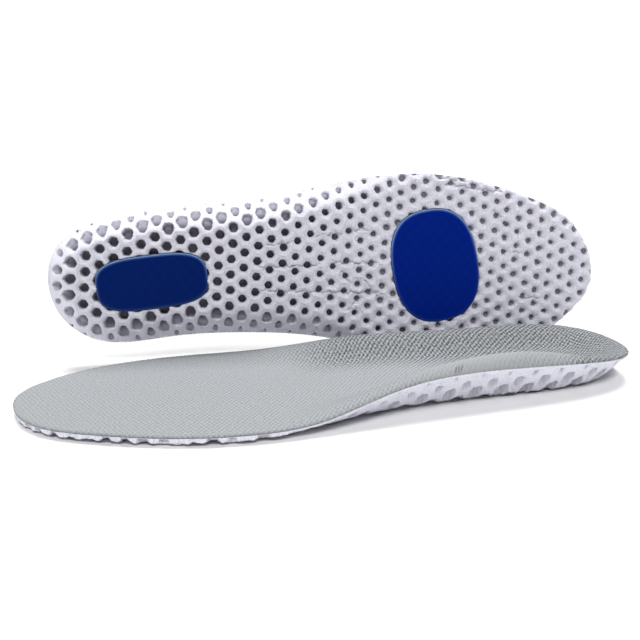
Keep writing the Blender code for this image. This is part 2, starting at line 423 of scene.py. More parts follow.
class Holes:
    """The holes of the honeycomb: where each one is, and its size and shape."""

    def __init__(self, centres):
        rng = np.random.default_rng(SEED)
        plan = Plan(centres)
        plan = Plan(centres[plan.inside | (plan.distance < HOLE_MARGIN)])
        forefoot = smoothstep(*UNEVEN_SPAN, plan.points[:, 0])
        self.size_and_place(plan, forefoot, rng)
        self.uneven_edges(forefoot, rng)
        self.depths(plan, forefoot)
        keep = self.radius > SMALLEST_HOLE
        for name, values in list(vars(self).items()):
            setattr(self, name, values[keep])

    def size_and_place(self, plan, forefoot, rng):
        count = len(forefoot)
        outward = np.where(plan.inside, plan.outward(), 1.0)
        closing = np.clip((outward - TAPER_START) / (1.0 - TAPER_START), 0.0, 1.0) ** TAPER_CURVE
        size = np.interp(plan.points[:, 0], *np.array(HOLE_RADII).T)
        size = size * (1.0 - plan.walled() * TAPER * closing)
        self.radius = size * (1.0 + rng.normal(0.0, graded(SIZE_SCATTER, forefoot), count))
        shift = rng.normal(0.0, 1.0, (count, 2)) * graded(PLACE_SCATTER, forefoot)[:, None]
        self.centre = plan.points + shift
        self.outward = -plan.inward
        self.wall = plan.wall()

    def uneven_edges(self, forefoot, rng):
        count = len(forefoot)
        self.corners = HOLE_CORNERS * (1.0 - 0.5 * forefoot)
        self.oval = np.abs(rng.normal(0.0, graded(OVAL_SCATTER, forefoot), count))
        self.oval_turn = rng.uniform(0.0, math.tau, count)
        self.lobes = np.abs(rng.normal(0.0, graded(LOBE_SCATTER, forefoot), count))
        self.lobes_turn = rng.uniform(0.0, math.tau, count)

    def depths(self, plan, forefoot):
        """Heights and depths of the pockets' level ends, and the funnels round the holes."""
        inner = Plan(plan.points + plan.inward * self.radius[:, None])
        self.level = plan.sole() + POCKET_RISE * self.radius
        self.inner_depth = np.maximum(self.level - inner.sole(), 1.0)
        at_rim = smoothstep(3.8, 1.5, plan.distance) * smoothstep(140.0, 175.0, plan.points[:, 0])
        self.funnel_depth = graded(FUNNEL_DEPTH, forefoot, at_rim)
        self.funnel_width = graded(FUNNEL_WIDTH, forefoot, at_rim)

    def edge(self, which, offset):
        """Hole edge's distance from the centre in the direction of each offset. A pocket in a wall is drawn
        out towards the rim."""
        angle = np.arctan2(offset[..., 1], offset[..., 0])
        shape = (1.0 + self.corners[which] * np.cos(6.0 * angle)
                 + self.oval[which] * np.cos(2.0 * (angle - self.oval_turn[which]))
                 + self.lobes[which] * np.cos(3.0 * (angle - self.lobes_turn[which])))
        length = np.maximum(np.linalg.norm(offset, axis=-1), 1e-9)
        out = (offset * self.outward[which]).sum(axis=-1) / length
        stretch = 1.0 + POCKET_STRETCH * self.wall[which] * np.clip(out, 0.0, 1.0)
        return self.radius[which] * shape * stretch

    def deepest(self, points, surface, cap):
        """How deep each point lies in the hole nearest to it, and what share that is of a full hole."""
        depth = np.zeros(len(points))
        share = np.zeros(len(points))
        for start in range(0, len(points), CHUNK):
            part = slice(start, start + CHUNK)
            offsets = points[part, None, :] - self.centre[None, :, :]
            nearest = np.argpartition((offsets**2).sum(axis=2), NEIGHBOURS, axis=1)[:, :NEIGHBOURS]
            for rank in range(NEIGHBOURS):
                which = nearest[:, rank]
                offset = offsets[np.arange(len(which)), which]
                full, room = self.room(which, surface[part], cap[part])
                reached = self.depth_in(which, offset, room)
                share[part] = np.where(reached > depth[part], reached / full, share[part])
                depth[part] = np.maximum(depth[part], reached)
        return depth, share

    def room(self, which, surface, cap):
        """Depth of the hole where it's deepest, and its full depth at each point, within the space up to
        the cover. A pocket in a wall has a level end, so it's deepest at its inner side."""
        wall = self.wall[which]
        level = self.level[which]
        deep = np.minimum(DEEPEST, cap - surface)
        pocket = np.minimum(level, cap) - surface
        full = DEEPEST + wall * (self.inner_depth[which] - DEEPEST)
        room = np.clip(deep + wall * (pocket - deep), 0.0, None)
        return np.maximum(np.minimum(full, cap - surface), SHALLOWEST), room

    def depth_in(self, which, offset, room):
        share = np.linalg.norm(offset, axis=1) / self.edge(which, offset)
        rise = np.clip((1.0 - share) / (1.0 - HOLE_CORE), 0.0, 1.0) ** CORE_CURVE
        width = self.funnel_width[which]
        slope = np.clip((width - share) / (width - 1.0), 0.0, 1.0) ** FUNNEL_CURVE
        funnel = np.minimum(slope * self.funnel_depth[which], room)
        return np.where(share < 1.0, funnel + (room - funnel) * rise, funnel)

    def ring_points(self):
        """Mesh points on and round every hole."""
        angles = np.arange(RING_POINTS) * math.tau / RING_POINTS
        directions = np.stack([np.cos(angles), np.sin(angles)], axis=1)
        which = np.repeat(np.arange(len(self.centre)), RING_POINTS)
        offset = np.tile(directions, (len(self.centre), 1))
        edge = self.edge(which, offset)
        width = self.funnel_width[which]
        shares = (0.3, 0.58, HOLE_CORE, 0.5 * (HOLE_CORE + 1.0), 1.0, 0.5 * (1.0 + width), width)
        rings = [self.centre[which] + offset * (edge * share)[:, None] for share in shares]
        return np.concatenate([self.centre, *rings])


def superellipse(pad, grow, count):
    """The pad's outline with its edge moved out by grow."""
    half_along = pad["half"][0] + grow
    half_across = pad["half"][1] + grow
    turn = math.radians(pad["turn"])
    angles = np.arange(count) * math.tau / count
    cosine = np.cos(angles)
    sine = np.sin(angles)
    along = half_along * np.copysign(np.abs(cosine) ** (2.0 / pad["power"]), cosine)
    across = half_across * np.copysign(np.abs(sine) ** (2.0 / pad["power"]), sine)
    return np.stack([
        pad["centre"][0] + along * math.cos(turn) - across * math.sin(turn),
        pad["centre"][1] + along * math.sin(turn) + across * math.cos(turn),
    ], axis=1)


def even_loop(loop, step):
    """Points at equal steps round a closed loop."""
    closed = np.vstack([loop, loop[:1]])
    lengths = np.concatenate([[0.0], np.cumsum(np.linalg.norm(np.diff(closed, axis=0), axis=1))])
    count = int(round(lengths[-1] / step))
    places = np.arange(count) * lengths[-1] / count
    return np.stack([np.interp(places, lengths, closed[:, k]) for k in range(2)], axis=1)


def pad_reach(pad, points):
    """Each point's place in the pad's outline: under 1 inside the outline grown by GAP."""
    turn = math.radians(pad["turn"])
    offset = points - np.array(pad["centre"])
    along = offset[:, 0] * math.cos(turn) + offset[:, 1] * math.sin(turn)
    across = -offset[:, 0] * math.sin(turn) + offset[:, 1] * math.cos(turn)
    return ((np.abs(along) / (pad["half"][0] + GAP)) ** pad["power"]
            + (np.abs(across) / (pad["half"][1] + GAP)) ** pad["power"]) ** (1.0 / pad["power"])


PADS = {"heel_pad": HEEL_PAD, "forefoot_pad": FOREFOOT_PAD}


def far_from(points, loop, clearance):
    """True for each point further than clearance from a dense loop."""
    keep = np.ones(len(points), dtype=bool)
    for start in range(0, len(points), CHUNK):
        part = slice(start, start + CHUNK)
        gap = ((points[part, None, :] - loop[None, :, :]) ** 2).sum(axis=2).min(axis=1)
        keep[part] = gap > clearance**2
    return keep


def sole_plan_points(lattice, holes):
    """Points inside the rim where the sole's surface is sampled."""
    points = np.concatenate([holes.ring_points(), lattice.ridge_points(lattice.centres())])
    plan = Plan(points)
    points = points[plan.inside & (plan.distance > CLEARANCE)]
    loops = []
    for pad in PADS.values():
        outline = even_loop(superellipse(pad, GAP, PAD_SAMPLES), RECESS_STEP)
        inner = even_loop(superellipse(pad, GAP - RECESS_WALL, PAD_SAMPLES), RECESS_STEP)
        points = points[pad_reach(pad, points) > 1.0]
        points = points[far_from(points, outline, CLEARANCE)]
        loops += [outline, inner, superellipse(pad, -RECESS_INSET, RECESS_INNER_POINTS)]
    return np.concatenate([points, *loops])


def triangulated(outline, inner):
    """Points and triangles inside an outline, and the outline's points in order."""
    count = len(outline)
    border = [(i, (i + 1) % count) for i in range(count)]
    places = [Vector(p) for p in np.concatenate([outline, inner]).tolist()]
    flat, _, triangles, sources, _, _ = delaunay_2d_cdt(places, border, [], 1, MERGE_DISTANCE)
    order = {}
    for index, source in enumerate(sources):
        for original in source:
            order[original] = index
    rim_order = np.array([order[i] for i in range(count)])
    return np.array([tuple(p) for p in flat]), np.array([tuple(t) for t in triangles]), rim_order


# Creases that the mould left between the holes: along and across where each one starts and ends
CREASES = (
    (99.3, 3.1, 113.4, 0.0),
    (97.2, 13.3, 127.2, 9.7),
    (98.7, 24.2, 159.3, 21.2),
    (122.6, -3.6, 137.7, -6.3),
    (140.5, -8.1, 150.8, -8.9),
    (132.2, 8.3, 155.8, 6.8),
    (136.1, 11.0, 143.8, 18.5),
    (129.1, 14.5, 134.7, 21.3),
    (147.5, 13.8, 157.3, 24.1),
    (140.8, 31.8, 149.7, 22.4),
    (179.7, -37.0, 197.3, -36.5),
    (183.7, -34.5, 215.6, -32.7),
    (209.4, -23.7, 216.8, -20.6),
    (221.7, -3.5, 228.8, -4.4),
    (228.0, 18.6, 240.0, 17.8),
)
CREASE_DEPTH = 1.5
CREASE_WIDTH = 0.4
CREASE_STEP = 0.55
CREASE_FADE = 2.0


def crease_line(crease, along):
    """Across place of a crease at each place along it, wandering between the holes."""
    start, start_across, end, end_across = crease
    share = (along - start) / (end - start)
    wander = 0.45 * np.sin(along * 1.05 + start) + 0.2 * np.sin(along * 2.3 + end)
    return start_across + (end_across - start_across) * share + wander


def crease_points():
    points = []
    for crease in CREASES:
        along = np.arange(crease[0], crease[2], CREASE_STEP)
        across = crease_line(crease, along)
        for side in (-2.0, -1.0, 0.0, 1.0, 2.0):
            points.append(np.stack([along, across + side * CREASE_WIDTH], axis=1))
    return np.concatenate(points)


def crease_depth(points):
    depth = np.zeros(len(points))
    for crease in CREASES:
        along = points[:, 0]
        gap = points[:, 1] - crease_line(crease, along)
        from_start = smoothstep(0.0, CREASE_FADE, along - crease[0])
        ends = from_start * smoothstep(0.0, CREASE_FADE, crease[2] - along)
        depth = np.maximum(depth, CREASE_DEPTH * ends * np.exp(-((gap / CREASE_WIDTH) ** 2)))
    return depth


def lumps(points, scale):
    """Smooth random values from about -1 to 1 over the plan, with lumps of about the given size."""
    return np.array([noise.noise(Vector((a / scale, b / scale, 0.0))) for a, b in points.tolist()])


# Relief between the holes: each cell is dished from its sides, and the forefoot's skin is rough. The
# spans are along the foot and in from the cell's side
FOREFOOT_SPAN = (100.0, 185.0)
DISH_SPAN = (0.12, 0.75)
DISH_DEPTH = 0.85
FOREFOOT_DISH_LOSS = 0.4
WALL_DISH_LOSS = 0.8
ROUGHNESS = 0.34
LUMP_SIZE = 1.5

# Painted shade on the foam: darker by depth in a hole, more near the bottom of one, in a dish and under a
# pad, and at most this much on the upright edge. At a straight hole's bottom the dark is partly the
# fabric's own dark back
DEPTH_SHADE = 0.35
BOTTOM_SHADE = 0.65
DISH_SHADE = 0.15
RECESS_SHADE = 0.55
EDGE_SHADE = 0.6


def dishes(plan, lattice, forefoot):
    """How deep each point lies in the dish of its honeycomb cell."""
    cell = smoothstep(*DISH_SPAN, lattice.cell_side(plan.points))
    on_wall = plan.wall() * smoothstep(0.0, 0.3, plan.outward())
    return (DISH_DEPTH - FOREFOOT_DISH_LOSS * forefoot) * cell * (1.0 - WALL_DISH_LOSS * on_wall)


def sole_surface(plan, lattice, holes):
    """Height of the foam's lower face at each point, and its painted shade from 0 to 1, darker by its depth
    in the holes, in the dishes and under the pads.
    """
    points = plan.points
    cap = plan.foam_top() - FABRIC_BACK
    forefoot = smoothstep(*FOREFOOT_SPAN, points[:, 0])
    dish = dishes(plan, lattice, forefoot)
    rough = forefoot * ROUGHNESS * (lumps(points, LUMP_SIZE) + 1.0)
    surface = np.minimum(plan.sole() + dish + rough + crease_depth(points), cap)
    depth, share = holes.deepest(points, surface, cap)
    height = surface + depth
    # Painted shade: darker by depth in a hole, more near its bottom, and in a dish
    dark = DEPTH_SHADE * share + BOTTOM_SHADE * smoothstep(0.5, 0.95, share) + DISH_SHADE * dish
    dark = np.clip(dark, 0.0, 1.0)
    # Painted shade on the foam under a pad
    for pad in PADS.values():
        inside = pad_reach(pad, points) < 1.0 - 0.5 * RECESS_WALL / min(pad["half"])
        height = np.where(inside, PAD_RECESS + pad["thickness"] + GAP, height)
        dark = np.where(inside, RECESS_SHADE, dark)
    return height, dark


def ring_inside(distance, count):
    """Points of the rim moved inwards."""
    step = RIM_SAMPLES // count
    return RIM_CURVE[::step, :2] + distance * RIM_INWARD[::step]


def triangle_grid(pitch, clearance):
    """A triangular grid over the plan, further inside the rim than clearance."""
    low = RIM_CURVE[:, :2].min(axis=0)
    high = RIM_CURVE[:, :2].max(axis=0)
    row_pitch = pitch * math.sqrt(0.75)
    points = []
    for row in range(int((high[0] - low[0]) / row_pitch) + 1):
        for column in range(int((high[1] - low[1]) / pitch) + 2):
            points.append((low[0] + row_pitch * row, low[1] + pitch * (column + 0.5 * (row % 2))))
    plan = Plan(np.array(points))
    return plan.points[plan.inside & (plan.distance > clearance)]


# Rings of vertices up the foam's upright edge: share of its height, and the most in mm
EDGE_RINGS = ((0.3, 0.35), (0.8, math.inf))


def foam_top_plan(outline):
    """Points and triangles of the foam's upper face, closer together towards the rim."""
    inner = [ring_inside(distance, 240) for distance in (1.5, 4.0, 7.5, 12.0, 17.0)]
    return triangulated(outline, np.concatenate([*inner, triangle_grid(7.0, 21.0)]))


def foam_shape(lattice):
    """Vertices, faces and painted shade of the foam body in the foot frame."""
    holes = Holes(lattice.centres())
    outline = RIM_CURVE[:, :2]
    low_plan, low_faces, low_rim = triangulated(
        outline, np.concatenate([sole_plan_points(lattice, holes), crease_points()]))
    height, dark = sole_surface(Plan(low_plan), lattice, holes)
    high_plan, high_faces, high_rim = foam_top_plan(outline)
    foam_top = Plan(high_plan).foam_top()
    vertices = [np.column_stack([low_plan, height])]
    darkness = [dark]
    rings = [low_rim]
    count = len(low_plan)
    rim_low = height[low_rim]
    for share, most in EDGE_RINGS:
        rise = np.minimum(share * (foam_top[high_rim] - rim_low), most)
        vertices.append(np.column_stack([outline, rim_low + rise]))
        # The upright edge carries the rim's painted shade, no darker than EDGE_SHADE
        darkness.append(np.minimum(dark[low_rim], EDGE_SHADE))
        rings.append(np.arange(len(outline)) + count)
        count += len(outline)
    vertices.append(np.column_stack([high_plan, foam_top]))
    darkness.append(np.zeros(len(high_plan)))
    rings.append(high_rim + count)
    faces = [low_faces[:, ::-1], high_faces + count]
    for lower, upper in zip(rings[:-1], rings[1:]):
        faces += side_faces(lower, upper)
    return np.concatenate(vertices), np.concatenate(faces), np.concatenate(darkness)


def side_faces(lower, upper):
    """Triangles that join two closed rings of vertices, facing out."""
    lower_next = np.roll(lower, -1)
    upper_next = np.roll(upper, -1)
    return [
        np.stack([lower, lower_next, upper_next], axis=1),
        np.stack([lower, upper_next, upper], axis=1),
    ]


# The cover's fabric: a staggered knit whose loops line up as diagonal ribs. Waves per mm along and
# across, the ribs' relief in mm, and how far the ribs turn towards the heel
RIB_WAVES = (0.52, 0.31)
CROSS_WAVES = (0.53, -0.37)
RIB_RELIEF = 0.07
HEEL_TURN = 0.3
HEEL_TURN_REACH = 120.0

# Slight sway of the whole cover
SWAY = 0.12
SWAY_SIZE = 19.0

# The fabric's cut edge: how far it stands out, plain and at a rib, and how far it rolls down
EDGE_SPREAD = 0.15
EDGE_RIB = 0.12
EDGE_ROLL = 0.22


def ribs(points):
    """The rib pattern over the plan, from -1 to 1."""
    main = np.cos(math.tau * (points @ np.array(RIB_WAVES)))
    cross = np.cos(math.tau * (points @ np.array(CROSS_WAVES)))
    return 0.7 * main + 0.3 * cross


def cover_height(plan):
    """Height of the fabric's outer face without its gathers."""
    height = plan.top() + RIB_RELIEF * ribs(plan.points)
    sway = SWAY * lumps(plan.points, SWAY_SIZE)
    return height + sway * smoothstep(2.0, 12.0, plan.distance)


def relief_strength(plan):
    """How strongly the knit shows: most in the heel cup and up the inner side, least on the outer roll. The
    cover's shade follows it, partly the knit's tone and partly painted shade on the walls.
    """
    along, across = plan.points.T
    outer = smoothstep(5.0, -5.0, across) * smoothstep(2.0, 5.0, plan.swell)
    stretched = outer * smoothstep(9.0, 5.0, plan.distance)
    rising = smoothstep(12.0, 30.0, across) * smoothstep(160.0, 125.0, along)
    rough = np.maximum(rising, 0.85 * smoothstep(75.0, 40.0, along))
    return (0.4 + 0.8 * rough) * (1.0 - 0.65 * stretched)


# Three short gathers pressed into the fabric beside the outer edge: where each starts and ends
GATHERS = (
    ((87.3, -18.6), (86.5, -17.2)),
    ((88.6, -18.9), (87.8, -17.4)),
    ((89.9, -19.2), (89.1, -18.0)),
)
GATHER_WIDTH = 0.27
GATHER_DEPTH = 0.25
GATHER_AREA = ((84.9, 90.8), (-19.4, -15.0))
GATHER_STEP = 0.25
GATHER_RIM_GAP = 0.45


def gathers(points):
    """How deep each point lies in a gather, from 0 to 1."""
    depth = np.zeros(len(points))
    for start, end in GATHERS:
        reach = np.array(end) - start
        share = np.clip(((points - start) @ reach) / (reach @ reach), 0.0, 1.0)
        gap = np.linalg.norm(points - start - share[:, None] * reach, axis=1)
        depth = np.maximum(depth, np.exp(-((gap / GATHER_WIDTH) ** 2)))
    return depth


def gather_points():
    """Fine mesh points round the gathers."""
    along, across = np.meshgrid(*(np.arange(*span, GATHER_STEP) for span in GATHER_AREA))
    plan = Plan(np.stack([along.ravel(), across.ravel()], axis=1))
    return plan.points[plan.inside & (plan.distance > GATHER_RIM_GAP)]


def cover_shape():
    """Vertices and faces of the cover in the foot frame, how strongly the knit shows, which also sets
    painted shade on the walls, and its gathers, which get painted shade.
    """
    outline = RIM_CURVE[::2, :2]
    inner = [ring_inside(distance, 360) for distance in (0.35, 1.3, 2.8, 4.6, 6.6, 8.8)]
    flat, faces, rim = triangulated(
        outline, np.concatenate([*inner, gather_points(), triangle_grid(2.2, 10.0)]))
    plan = Plan(flat)
    gathered = gathers(flat)
    height = cover_height(plan) - GATHER_DEPTH * gathered
    edge = np.zeros(len(flat))
    edge[rim] = 1.0
    places = flat - plan.inward * (edge * (EDGE_SPREAD + EDGE_RIB * ribs(flat)))[:, None]
    upper = np.column_stack([places, height - EDGE_ROLL * edge])
    lower = np.column_stack([places, plan.top() - COVER_THICKNESS])
    count = len(flat)
    joined = np.concatenate([faces[:, ::-1], faces + count, *side_faces(rim, rim + count)])
    looks = {"knit": np.tile(relief_strength(plan), 2), "gather": np.tile(gathered, 2)}
    return np.concatenate([lower, upper]), joined, looks


# The gel pad's chamfer inside the recess, its rounded outer edge, and its slightly crowned face
PAD_POINTS = 128
PAD_CHAMFER = 0.15
PAD_ROUNDING = 0.6
PAD_CROWN = 0.12
PAD_CROWN_REACH = 12.0

# Painted highlight on the gel's rounded edge, by ring of the pad's mesh
GEL_EDGE_HIGHLIGHT = {3: 0.25, 4: 0.75, 5: 1.0, 6: 0.8, 7: 0.25}


def pad_rows(pad):
    """How far each ring of the pad's mesh lies outside its outline, and its height."""
    top = PAD_RECESS + pad["thickness"]
    rows = [(-PAD_CHAMFER, top), (0.0, top - PAD_CHAMFER), (0.0, PAD_RECESS + PAD_ROUNDING)]
    for i in range(1, 6):
        angle = i * math.pi / 10.0
        inset = PAD_ROUNDING * (1.0 - math.cos(angle))
        rows.append((-inset, PAD_RECESS + PAD_ROUNDING * (1.0 - math.sin(angle))))
    for inset in (1.4, 3.0, 6.0, 9.5):
        crown = PAD_CROWN * (1.0 - (1.0 - inset / PAD_CROWN_REACH) ** 2)
        rows.append((-inset, PAD_RECESS - crown))
    return rows


def pad_shape(pad):
    """Vertices and faces of a gel pad in the foot frame, and how much painted highlight each vertex gets on
    its rounded edge.
    """
    ring = np.arange(PAD_POINTS)
    rows = pad_rows(pad)
    rings = [np.column_stack([superellipse(pad, grow, PAD_POINTS), np.full(PAD_POINTS, height)])
             for grow, height in rows]
    middles = [(*pad["centre"], rows[0][1]), (*pad["centre"], PAD_RECESS - PAD_CROWN)]
    vertices = np.concatenate([*rings, middles])
    # The painted highlight is strongest along the pad's outer side
    highlit_side = smoothstep(0.35, -0.75, np.sin(ring * math.tau / PAD_POINTS))
    edge = [GEL_EDGE_HIGHLIGHT.get(row, 0.0) * (0.15 + 0.85 * highlit_side) for row in range(len(rows))]
    edge = np.concatenate([*edge, [0.0, 0.0]])
    faces = []
    for i in range(len(rows) - 1):
        first = ring + i * PAD_POINTS
        faces += [side[:, ::-1] for side in side_faces(first, first + PAD_POINTS)]
    following = np.roll(ring, -1)
    last = (len(rows) - 1) * PAD_POINTS
    middle = len(rows) * PAD_POINTS
    faces.append(np.stack([ring, following, np.full(PAD_POINTS, middle)], axis=1))
    faces.append(np.stack([following + last, ring + last, np.full(PAD_POINTS, middle + 1)], axis=1))
    return vertices, np.concatenate(faces), edge


def insole_frames(frame):
    """Where each insole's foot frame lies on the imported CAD, and whether it is mirrored."""
    low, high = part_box("left_foam_body")
    rim = RIM_CURVE[:, :2] * METRES_PER_MM
    heel = Vector((high.x + rim[:, 0].min(), low.y - rim[:, 1].min(), low.z))
    left = Matrix.Translation(heel) @ Matrix.Scale(-1.0, 4, (1.0, 0.0, 0.0))
    on_edge = Matrix(((1.0, 0.0, 0.0), (0.0, 0.0, 1.0), (0.0, -1.0, 0.0))).to_4x4()
    turned = (
        Matrix.Rotation(math.radians(TURNED_AWAY), 4, "Z")
        @ Matrix.Rotation(math.radians(TOE_DOWN), 4, "Y")
        @ Matrix.Rotation(math.radians(LEAN_BACK), 4, "X")
        @ on_edge
    )
    to_right = turned @ left.inverted()
    cad = [to_right @ v.co for v in frame["nodes"]["left_foam_body"].data.vertices]
    corner = Vector(min(point[k] for point in cad) for k in range(3))
    right = Matrix.Translation(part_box("right_foam_body")[0] - corner) @ turned
    return {"left": (left, True), "right": (right, False)}


def make_piece(name, vertices, faces, place, finish, looks):
    """A piece from foot-frame arrays in mm, placed on the frame, with its plan kept as a UV map."""
    matrix, mirrored = place
    mesh = bpy.data.meshes.new(name)
    corners = faces[:, ::-1] if mirrored else faces
    mesh.from_pydata((vertices * METRES_PER_MM).tolist(), [], corners.tolist())
    foot = mesh.uv_layers.new(name="foot")
    order = np.zeros(len(mesh.loops), dtype=np.int32)
    mesh.loops.foreach_get("vertex_index", order)
    foot.data.foreach_set("uv", (vertices[order, :2] * METRES_PER_MM).ravel())
    for label, values in looks.items():
        layer = mesh.attributes.new(label, "FLOAT", "POINT")
        layer.data.foreach_set("value", values.astype(np.float32))
    mesh.transform(matrix)
    mesh.validate()
    mesh.shade_smooth()
    mesh.materials.append(finish)
    obj = bpy.data.objects.new(name, mesh)
    bpy.context.scene.collection.objects.link(obj)
    return obj


class Nodes:
    """Short calls for building a node tree."""

    def __init__(self, tree):
        self.tree = tree

    def put(self, socket, value):
        if isinstance(value, bpy.types.NodeSocket):
            self.tree.links.new(value, socket)
        else:
            socket.default_value = value

    def math(self, operation, *values):
        node = self.tree.nodes.new("ShaderNodeMath")
        node.operation = operation
        for socket, value in zip(node.inputs, values):
            self.put(socket, value)
        return node.outputs[0]

    def spread(self, value, low, high, to_low=0.0, to_high=1.0, smooth=False):
        node = self.tree.nodes.new("ShaderNodeMapRange")
        if smooth:
            node.interpolation_type = "SMOOTHSTEP"
        for socket, item in zip(node.inputs, (value, low, high, to_low, to_high)):
            self.put(socket, item)
        return node.outputs[0]

    def limited(self, value):
        """The value held between 0 and 1."""
        return self.math("MINIMUM", self.math("MAXIMUM", value, 0.0), 1.0)


# Noise scales are in waves per mm, and bump heights in metres
NOISE_DETAIL = 3.0


class Finish(Nodes):
    """A material, with short calls for its nodes."""

    def __init__(self, name, roughness, specular):
        self.material = bpy.data.materials.new(name)
        self.material.use_nodes = True
        super().__init__(self.material.node_tree)
        self.shader = self.tree.nodes["Principled BSDF"]
        self.shader.inputs["Roughness"].default_value = roughness
        self.shader.inputs["Specular IOR Level"].default_value = specular

    def foot(self):
        """Along and across in mm, from the UV map, and both as one place."""
        uv = self.tree.nodes.new("ShaderNodeUVMap")
        uv.uv_map = "foot"
        split = self.tree.nodes.new("ShaderNodeSeparateXYZ")
        self.put(split.inputs[0], uv.outputs[0])
        along = self.math("MULTIPLY", split.outputs[0], 1000.0)
        across = self.math("MULTIPLY", split.outputs[1], 1000.0)
        join = self.tree.nodes.new("ShaderNodeCombineXYZ")
        self.put(join.inputs[0], along)
        self.put(join.inputs[1], across)
        return along, across, join.outputs[0]

    def attribute(self, name):
        node = self.tree.nodes.new("ShaderNodeAttribute")
        node.attribute_name = name
        return node.outputs["Fac"]

    def noise(self, place, scale):
        """Smooth noise round 0.5."""
        node = self.tree.nodes.new("ShaderNodeTexNoise")
        self.put(node.inputs["Vector"], place)
        self.put(node.inputs["Scale"], scale)
        self.put(node.inputs["Detail"], NOISE_DETAIL)
        return node.outputs["Fac"]

    def mix(self, share, first, second):
        node = self.tree.nodes.new("ShaderNodeMix")
        node.data_type = "RGBA"
        for index, value in ((0, share), (6, first), (7, second)):
            self.put(node.inputs[index], value)
        return node.outputs[2]

    def wave(self, along, across, waves, wobble):
        """A cosine wave over the plan."""
        first = self.math("MULTIPLY", along, waves[0] * math.tau)
        second = self.math("MULTIPLY", across, waves[1] * math.tau)
        phase = self.math("ADD", self.math("ADD", first, second), wobble)
        return self.math("COSINE", phase)

    def bump(self, height, distance):
        node = self.tree.nodes.new("ShaderNodeBump")
        self.put(node.inputs["Height"], height)
        self.put(node.inputs["Distance"], distance)
        self.put(node.inputs["Strength"], 1.0)
        self.put(self.shader.inputs["Normal"], node.outputs[0])

    def colour(self, value):
        self.put(self.shader.inputs["Base Color"], value)


# The foam: its face, and the dark that painted shade mixes in down the holes, pockets and dishes, partly
# the fabric's own dark back at a straight hole's bottom; and the mottling's strength at the heel and at the
# forefoot
FOAM_FACE = (0.84, 0.84, 0.94, 1.0)
FOAM_SHADE_AND_BACK = (0.215, 0.20, 0.235, 1.0)
MOTTLE_SCALE = 0.9
MOTTLE = (0.15, 0.9)
GRAIN_SCALE = 1.6
GRAIN_BUMP = 0.001


def foam_finish():
    finish = Finish("foam", roughness=0.55, specular=0.3)
    along, _, place = finish.foot()
    mottle = finish.math("SUBTRACT", 0.5, finish.noise(place, MOTTLE_SCALE))
    mottle = finish.math("MULTIPLY", mottle, finish.spread(along, *FOREFOOT_SPAN, *MOTTLE))
    # The depth attribute is painted shade; the mottle is random tone
    dark = finish.math("ADD", finish.attribute("depth"), mottle)
    finish.colour(finish.mix(finish.limited(dark), FOAM_FACE, FOAM_SHADE_AND_BACK))
    finish.bump(finish.noise(place, GRAIN_SCALE), GRAIN_BUMP)
    return finish.material


# The cover: its darkest and lightest yarn, and its shade between them where the knit shows least and most,
# partly the knit's tone and partly painted shade on the heel cup and inner wall
COVER_DARK = (0.08, 0.083, 0.088, 1.0)
COVER_LIGHT = (0.68, 0.715, 0.74, 1.0)
KNIT_STRENGTHS = (0.1, 1.2)
COVER_SHADES = (0.42, 0.28)
PATTERN_SHADE = 0.34
# Painted shade in the gathers
GATHER_SHADE = 0.28
KNIT_BUMP = 0.00025

# The parts of the knit's pattern, and how far the ribs wobble
RIB_PART = 0.4
CROSS_PART = 0.25
SPECKLE_PART = 3.0
SPECKLE_SCALE = 1.1
WOBBLE = 2.2
WOBBLE_SCALE = 0.35


def knit_pattern(finish, along, across, place):
    """The knit's light and dark, from ribs, cross ribs and speckles."""
    wobble = finish.math("MULTIPLY", finish.noise(place, WOBBLE_SCALE), WOBBLE)
    heel_turn = finish.spread(along, 0.0, HEEL_TURN_REACH, HEEL_TURN * math.tau, 0.0)
    turned = finish.math("ADD", wobble, finish.math("MULTIPLY", heel_turn, across))
    main = finish.math("MULTIPLY", finish.wave(along, across, RIB_WAVES, turned), RIB_PART)
    cross = finish.math("MULTIPLY", finish.wave(along, across, CROSS_WAVES, wobble), CROSS_PART)
    speckle = finish.math("SUBTRACT", finish.noise(place, SPECKLE_SCALE), 0.5)
    speckle = finish.math("MULTIPLY", speckle, SPECKLE_PART)
    return finish.math("ADD", finish.math("ADD", main, cross), speckle)


def cover_finish():
    finish = Finish("cover", roughness=0.85, specular=0.15)
    strength = finish.attribute("knit")
    pattern = finish.math("MULTIPLY", knit_pattern(finish, *finish.foot()), strength)
    # Darker where the knit is strong: partly the knit's tone, partly painted shade on the walls
    shade = finish.spread(strength, *KNIT_STRENGTHS, *COVER_SHADES)
    share = finish.math("ADD", shade, finish.math("MULTIPLY", pattern, PATTERN_SHADE))
    # Painted shade darkens the fabric in the gathers
    gathered = finish.math("MULTIPLY", finish.attribute("gather"), GATHER_SHADE)
    share = finish.limited(finish.math("SUBTRACT", share, gathered))
    finish.colour(finish.mix(share, COVER_DARK, COVER_LIGHT))
    finish.bump(pattern, KNIT_BUMP)
    return finish.material


# The gel, and how much darker it is in a faint pattern at the honeycomb's pitch
HEEL_GEL = (0.0011, 0.0140, 0.123)
FOREFOOT_GEL = (0.0003, 0.0150, 0.215)
# Pale blue of the painted highlight on the gel's rounded edge
GEL_HIGHLIGHT_COLOUR = (0.20, 0.36, 0.68, 1.0)
GEL_DARKER = 0.86


def gel_finish(name, colour):
    finish = Finish(name, roughness=0.4, specular=0.04)
    along, across, _ = finish.foot()
    first = finish.wave(along, across, (1.0 / COLUMN_PITCH, 0.0), 0.0)
    second = finish.wave(along, across, (0.0, 1.0 / HOLE_PITCH), 0.0)
    share = finish.spread(finish.math("MULTIPLY", first, second), -1.0, 1.0)
    darker = (*(GEL_DARKER * part for part in colour), 1.0)
    gel = finish.mix(share, darker, (*colour, 1.0))
    # The edge attribute paints a highlight along the gel's rounded edge
    finish.colour(finish.mix(finish.attribute("edge"), gel, GEL_HIGHLIGHT_COLOUR))
    return finish.material


